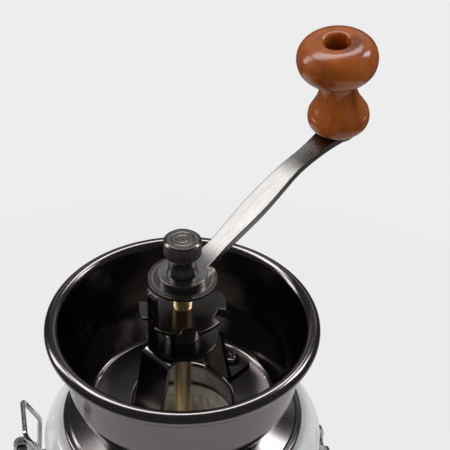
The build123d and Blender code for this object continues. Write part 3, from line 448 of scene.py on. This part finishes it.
def lathe(name, outline, steps=96, place=Matrix.Identity(4)):
    """Closed mesh from corners in radius and height, spun about Z, then put in its place."""
    shape = bmesh.new()
    rings = []
    for radius, height in outline:
        if radius < 1e-7:
            rings.append([shape.verts.new((0, 0, height))])
            continue
        turns = (2 * math.pi * i / steps for i in range(steps))
        rings.append([shape.verts.new((radius * math.cos(a), radius * math.sin(a), height))
                      for a in turns])
    for low, high in zip(rings, rings[1:] + rings[:1]):
        for i in range(steps):
            corners = [low[i % len(low)], low[(i + 1) % len(low)],
                       high[(i + 1) % len(high)], high[i % len(high)]]
            corners = list(dict.fromkeys(corners))
            if len(corners) > 2:
                shape.faces.new(corners)
    bmesh.ops.recalc_face_normals(shape, faces=shape.faces)
    mesh = bpy.data.meshes.new(name)
    shape.to_mesh(mesh)
    shape.free()
    mesh.transform(place)
    shade(mesh)
    return mesh


def smooth_line(points, steps=8):
    """Points along a curve through the given ones, so that a turned shape has no flats."""
    points = [np.array(p, float) for p in points]
    padded = [2 * points[0] - points[1], *points, 2 * points[-1] - points[-2]]
    line = []
    for a, b, c, d in zip(padded, padded[1:], padded[2:], padded[3:]):
        for t in np.linspace(0, 1, steps, endpoint=False):
            line.append(0.5 * (2 * b + (c - a) * t + (2 * a - 5 * b + 4 * c - d) * t ** 2
                               + (3 * b - a - 3 * c + d) * t ** 3))
    return [tuple(p) for p in line] + [tuple(points[-1])]


print("mesh helpers ready")

# %% [markdown]
# ## The wooden knob
#
# The knob is one turning: a ringed foot, a waist and a full round head with a bore from the top,
# where the pin's head sits. It leans with the end of the crank, so the outline is spun upright
# and then set on the knob's own axis, which the joint gives.

# %% Knob
knob_axis = Vector(joints["knob_spin"]["axis"]).normalized()
knob_foot = Vector(joints["knob_spin"]["pos_m"])
knob_place = Matrix.Translation(knob_foot) @ knob_axis.to_track_quat("Z", "Y").to_matrix().to_4x4()
FOOT_LIFT = 0.8
PIN_BORE_R = 2.55
HEAD_BORE_R, BORE_FLOOR = 5.6, 15.5
foot_line = smooth_line([(10.4, 0.0), (12.4, 1.6), (13.3, 4.0), (13.35, 6.2), (12.95, 8.1)])
flare_line = smooth_line([(12.5, 8.7), (11.6, 10.6), (10.2, 13.0), (9.0, 15.8), (8.2, 18.6),
                          (7.95, 20.6)])
head_line = smooth_line([(8.1, 23.1), (8.5, 23.75), (10.4, 25.0), (12.8, 27.0), (15.0, 29.0),
                         (16.5, 31.4), (17.15, 34.9), (16.7, 38.0), (15.5, 40.3), (13.3, 42.3),
                         (10.2, 43.4), (7.0, 43.68)])
outline = [(PIN_BORE_R, 0.0), *foot_line, (12.62, 8.35), *flare_line, *head_line,
           (6.3, 43.55), (5.75, 43.1), (HEAD_BORE_R, 42.6), (HEAD_BORE_R, BORE_FLOOR),
           (PIN_BORE_R, BORE_FLOOR)]
outline = [(r * MM, (FOOT_LIFT + z) * MM) for r, z in outline]
show("wooden_knob", lathe("wooden_knob", outline, 128, knob_place), wood, "knob",
     "varnished_wood", "knob")
print("knob outline has", len(outline), "corners")

# %% [markdown]
# ## The thumb nut
#
# The nut is turned from bar: a waisted neck, a head with a straight knurl that fingers can grip,
# a wide chamfer and fine rings on the top face. The knurl repeats, so a Geometry Nodes tree makes
# one ridge, sets it on a ring of points and turns each one outwards.


# %% Geometry Nodes helpers
def new_tree(name, **sizes):
    """Empty tree with a named float input for each size, and one for the material."""
    tree = bpy.data.node_groups.new(name, "GeometryNodeTree")
    tree.interface.new_socket("Geometry", in_out="INPUT", socket_type="NodeSocketGeometry")
    tree.interface.new_socket("Geometry", in_out="OUTPUT", socket_type="NodeSocketGeometry")
    for label, value in sizes.items():
        kind = "NodeSocketInt" if isinstance(value, int) else "NodeSocketFloat"
        tree.interface.new_socket(label, in_out="INPUT", socket_type=kind).default_value = value
    tree.interface.new_socket("Finish", in_out="INPUT", socket_type="NodeSocketMaterial")
    return tree, tree.nodes.new("NodeGroupInput"), tree.nodes.new("NodeGroupOutput")


def bake(name, tree, made, **sizes):
    """Runs the tree on an empty mesh and returns the result as a plain mesh."""
    holder = bpy.data.objects.new(name + "_maker", bpy.data.meshes.new(name + "_maker"))
    bpy.context.scene.collection.objects.link(holder)
    modifier = holder.modifiers.new("maker", "NODES")
    modifier.node_group = tree
    keys = {item.name: item.identifier for item in tree.interface.items_tree
            if item.in_out == "INPUT"}
    for label, value in sizes.items():
        modifier[keys[label]] = value
    modifier[keys["Finish"]] = made
    graph = bpy.context.evaluated_depsgraph_get()
    mesh = bpy.data.meshes.new_from_object(holder.evaluated_get(graph))
    mesh.name = name
    bpy.data.objects.remove(holder)
    return mesh


def finish_tree(tree, shape, source, sink):
    """Ends a tree: instances made real, then the material."""
    real = tree.nodes.new("GeometryNodeRealizeInstances")
    paint_node = tree.nodes.new("GeometryNodeSetMaterial")
    tree.links.new(shape, real.inputs["Geometry"])
    tree.links.new(real.outputs["Geometry"], paint_node.inputs["Geometry"])
    tree.links.new(source.outputs["Finish"], paint_node.inputs["Material"])
    tree.links.new(paint_node.outputs["Geometry"], sink.inputs["Geometry"])


print("tree helpers ready")

# %% Knurl tree: one ridge round a ring of points
knurl_tree, source, sink = new_tree("straight_knurl", Radius=0.007, Low=0.0, Length=0.005,
                                    Ridges=60, Depth=0.0004)
nodes, links = knurl_tree.nodes, knurl_tree.links
ring = nodes.new("GeometryNodeMeshCircle")
ridge = nodes.new("GeometryNodeMeshCylinder")
ridge.inputs["Vertices"].default_value = 3
links.new(source.outputs["Ridges"], ring.inputs["Vertices"])
links.new(source.outputs["Radius"], ring.inputs["Radius"])
links.new(source.outputs["Depth"], ridge.inputs["Radius"])
links.new(source.outputs["Length"], ridge.inputs["Depth"])

step = nodes.new("ShaderNodeMath")
step.operation = "DIVIDE"
step.inputs[0].default_value = 2 * math.pi
links.new(source.outputs["Ridges"], step.inputs[1])
turn = nodes.new("ShaderNodeMath")
turn.operation = "MULTIPLY"
links.new(nodes.new("GeometryNodeInputIndex").outputs["Index"], turn.inputs[0])
links.new(step.outputs["Value"], turn.inputs[1])
angles = nodes.new("ShaderNodeCombineXYZ")
links.new(turn.outputs["Value"], angles.inputs["Z"])

copies = nodes.new("GeometryNodeInstanceOnPoints")
links.new(ring.outputs["Mesh"], copies.inputs["Points"])
links.new(ridge.outputs["Mesh"], copies.inputs["Instance"])
links.new(angles.outputs["Vector"], copies.inputs["Rotation"])
lift = nodes.new("ShaderNodeCombineXYZ")
links.new(source.outputs["Low"], lift.inputs["Z"])
raised = nodes.new("GeometryNodeTransform")
links.new(copies.outputs["Instances"], raised.inputs["Geometry"])
links.new(lift.outputs["Vector"], raised.inputs["Translation"])
finish_tree(knurl_tree, raised.outputs["Geometry"], source, sink)
print("knurl tree has", len(knurl_tree.nodes), "nodes")

# %% Nut body
NECK_H = 8.8 * MM
KNURL_STEP = 0.62 * MM
CHAMFER = 0.75 * MM
SEAT_GAP = 0.03 * MM
BORE_R = 3.05 * MM
BORE_DOWN = 4 * MM
EDGE = 0.05 * MM
neck_top = nut_low + NECK_H
head_r = nut_radius - KNURL_STEP
neck_line = smooth_line([(6.2 * MM, nut_low + 0.2 * MM), (5.9 * MM, nut_low + 1.8 * MM),
                         (5.5 * MM, nut_low + 4.4 * MM), (5.65 * MM, nut_low + 6.8 * MM),
                         (6.1 * MM, neck_top - 0.2 * MM)], 6)
nut_outline = [(BORE_R, nut_low + SEAT_GAP), (6.05 * MM, nut_low + SEAT_GAP), *neck_line,
               (6.2 * MM, neck_top), (head_r - 0.5 * MM, neck_top + 0.35 * MM),
               (head_r, neck_top + 0.6 * MM), (head_r, nut_top - CHAMFER - 0.25 * MM),
               (nut_radius - EDGE, nut_top - CHAMFER - 0.12 * MM),
               (nut_radius - EDGE, nut_top - CHAMFER),
               (nut_radius - CHAMFER, nut_top - 0.12 * MM),
               (nut_radius - CHAMFER - 0.15 * MM, nut_top)]
for groove in (4.4 * MM, 2.3 * MM):
    nut_outline += [(groove + out * MM, nut_top - down * MM)
                    for out, down in ((0.3, 0), (0.12, 0), (0, 0.05), (-0.12, 0), (-0.3, 0))]
nut_outline += [(0, nut_top), (0, nut_top - BORE_DOWN), (BORE_R, nut_top - BORE_DOWN)]
show("thumb_nut_body", lathe("thumb_nut_body", nut_outline, 120), dark_nickel, "thumb_nut",
     "dark_nickel", "thumb_nut")
print("nut outline has", len(nut_outline), "corners")

# %% Knurl on the nut
RIDGE_DEPTH = 0.44 * MM
RIDGES = 60
ridge_length = nut_top - CHAMFER - neck_top - 0.6 * MM
knurl = bake("thumb_nut_knurl", knurl_tree, dark_nickel, Radius=nut_radius - RIDGE_DEPTH,
             Low=neck_top + 0.45 * MM + ridge_length / 2, Length=ridge_length, Ridges=RIDGES,
             Depth=RIDGE_DEPTH)
show("thumb_nut_knurl", knurl, dark_nickel, "thumb_nut", "dark_nickel")
print("knurl faces:", len(knurl.polygons))

# %% [markdown]
# ## The shaft and its rolled thread
#
# The shaft is cold drawn bar. Its thread is rolled, not cut, so the crests stand a little proud
# of the bar and are rounded. One flat keys the burr, the lock plate and the crank. A thread is a
# radius that depends on turn and height, so the mesh is a grid of points whose radius follows
# that rule, and the flat is the same grid pushed back to a plane.

# %% Sizes of the shaft
FLAT = 2.9 * MM
ROLLED_PITCH = 1.25 * MM
FINE_PITCH = 1.0 * MM
BAR_R = 3.55 * MM
CREST_R, CREST_DEPTH = 3.94 * MM, 0.78 * MM
SHOULDER_R, SHOULDER_H = 5.05 * MM, 1.2 * MM
SEAT_R = 3.19 * MM
TOP_R, FOOT_R, FINE_DEPTH = 2.98 * MM, 3.0 * MM, 0.5 * MM
FLAT_DOWN = 6 * MM
STEP_UP = 0.01 * MM
ROUND_STEPS = 64
thread_low = bridge_high - 9 * MM
shoulder_high = cone_high + SHOULDER_H


def thread_radius(z, angle, crest, depth, pitch):
    """Radius of a right-hand thread with rounded crests and roots."""
    phase = 2 * math.pi * (z / pitch) - angle
    return crest - depth * (0.5 - 0.5 * np.cos(phase)) ** 1.2


def shaft_radius(z, angle):
    """Radius of the shaft at a height, before its flats."""
    if z < cone_low:
        return thread_radius(z, angle, FOOT_R, FINE_DEPTH, FINE_PITCH)
    if cone_high <= z <= shoulder_high:
        return SHOULDER_R
    if z < thread_low:
        return BAR_R
    if z < spacer_low:
        return thread_radius(z, angle, CREST_R, CREST_DEPTH, ROLLED_PITCH)
    return SEAT_R if z < nut_low else thread_radius(z, angle, TOP_R, FINE_DEPTH, FINE_PITCH)


print("thread from", round(thread_low / MM, 1), "to", round(spacer_low / MM, 1), "mm")


# %% Shaft
def shaft_heights():
    """Heights of the rings: two at each step in radius, and close ones on the threads."""
    heights = {shaft_low, shoulder_high, shoulder_high + STEP_UP, shaft_high}
    for step_z in (cone_low, cone_high, spacer_low, nut_low):
        heights |= {step_z - STEP_UP, step_z}
    heights |= set(np.arange(shaft_low, cone_low, 0.125 * MM))
    heights |= set(np.arange(thread_low, spacer_low, 0.13 * MM))
    return sorted(heights)


def shaft_mesh():
    """Grid of rings from the lower end to the upper, closed at both ends."""
    shape = bmesh.new()
    rings = []
    for z in shaft_heights():
        flat = cone_low <= z < cone_high or hub_high - FLAT_DOWN <= z < nut_low
        corners = []
        for i in range(ROUND_STEPS):
            angle = 2 * math.pi * i / ROUND_STEPS
            radius = shaft_radius(z, angle)
            x, y = radius * math.cos(angle), radius * math.sin(angle)
            corners.append(shape.verts.new((x, min(y, FLAT) if flat else y, z)))
        rings.append(corners)
    for low, high in zip(rings, rings[1:]):
        for i in range(ROUND_STEPS):
            j = (i + 1) % ROUND_STEPS
            shape.faces.new((low[i], low[j], high[j], high[i]))
    shape.faces.new(list(reversed(rings[0])))
    shape.faces.new(rings[-1])
    mesh = bpy.data.meshes.new("threaded_shaft")
    shape.to_mesh(mesh)
    shape.free()
    mesh.transform(Matrix.Rotation(crank_turn, 4, "Z"))
    shade(mesh, 50.0)
    return mesh


shaft = show("threaded_shaft", shaft_mesh(), zinc_yellow, "drive", "zinc_yellow", "main_shaft")
print("shaft faces:", len(shaft.data.polygons))

# %% [markdown]
# ## The setting nut's thread
#
# The hub between the two plates carries a thread on its outside too. It follows a helix, so a
# Geometry Nodes tree draws a spiral curve and sweeps a small diamond along it, half of which is
# sunk in the hub.

# %% Thread tree: a diamond swept along a spiral
coil_tree, source, sink = new_tree("helical_ridge", Radius=0.007, Low=0.0, Height=0.01,
                                   Turns=8.0, Section=0.0003)
nodes, links = coil_tree.nodes, coil_tree.links
spiral = nodes.new("GeometryNodeCurveSpiral")
spiral.inputs["Resolution"].default_value = 48
section = nodes.new("GeometryNodeCurvePrimitiveCircle")
section.inputs["Resolution"].default_value = 4
links.new(source.outputs["Radius"], spiral.inputs["Start Radius"])
links.new(source.outputs["Radius"], spiral.inputs["End Radius"])
links.new(source.outputs["Turns"], spiral.inputs["Rotations"])
links.new(source.outputs["Height"], spiral.inputs["Height"])
links.new(source.outputs["Section"], section.inputs["Radius"])
upright = nodes.new("GeometryNodeSetCurveNormal")
upright.mode = "Z_UP"
swept = nodes.new("GeometryNodeCurveToMesh")
swept.inputs["Fill Caps"].default_value = True
links.new(spiral.outputs["Curve"], upright.inputs["Curve"])
links.new(upright.outputs["Curve"], swept.inputs["Curve"])
links.new(section.outputs["Curve"], swept.inputs["Profile Curve"])
lift = nodes.new("ShaderNodeCombineXYZ")
links.new(source.outputs["Low"], lift.inputs["Z"])
raised = nodes.new("GeometryNodeTransform")
links.new(swept.outputs["Mesh"], raised.inputs["Geometry"])
links.new(lift.outputs["Vector"], raised.inputs["Translation"])
finish_tree(coil_tree, raised.outputs["Geometry"], source, sink)
print("thread tree has", len(coil_tree.nodes), "nodes")

# %% Thread on the hub
PLATE_T = 1.5 * MM
END_GAP_LOW, END_GAP_TOP = 0.6 * MM, 0.8 * MM
HUB_R = 6.95 * MM
hub_bottom = plate_low + PLATE_T + END_GAP_LOW
hub_thread = bake("hub_thread", coil_tree, black_steel, Radius=HUB_R, Low=hub_bottom,
                  Height=hub_high - hub_bottom - END_GAP_TOP, Turns=8.0, Section=0.42 * MM)
show("hub_thread", hub_thread, black_steel, "setting", "black_steel")
print("hub thread faces:", len(hub_thread.polygons))
